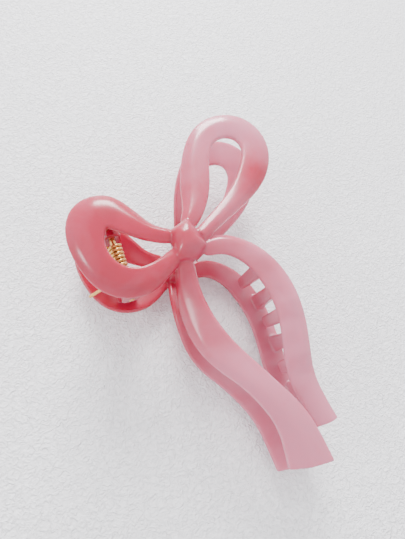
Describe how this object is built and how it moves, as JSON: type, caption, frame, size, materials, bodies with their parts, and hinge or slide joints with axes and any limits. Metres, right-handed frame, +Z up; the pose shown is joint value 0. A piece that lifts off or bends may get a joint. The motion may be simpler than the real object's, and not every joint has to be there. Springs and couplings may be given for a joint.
{
  "type": "claw clip",
  "caption": "Bow-shaped hair claw clip with two mirrored sprung halves, open ribbon loops, crossing tails and interleaved teeth.",
  "frame": {"origin": "under the middle of the bounding box, on the table that the closed clip lies on", "axes": "+Z up from the table, +Y along the clip's length towards the upper bow loop, +X from the hinge towards the teeth"},
  "size_m": [0.0786, 0.1244, 0.0365],
  "materials": {
    "jelly_pink": "glossy translucent cloudy pink plastic",
    "spring_gold": "bright gold-coloured plated wire"
  },
  "bodies": {
    "rear_half": {"rear_claw": "jelly_pink", "hinge_pin": "spring_gold", "torsion_spring": "spring_gold"},
    "front_half": {"front_claw": "jelly_pink"}
  },
  "joints": [
    {"name": "jaw_hinge", "type": "hinge", "parent": "rear_half", "child": "front_half", "pos_m": [-0.02484, 0.02008, 0.01831], "axis": [0, -0.9972, -0.0745], "range_deg": [0, 55], "stiffness_Nm_per_rad": 0.12, "springref_deg": -51.57, "deforming": ["torsion_spring"]}
  ]
}
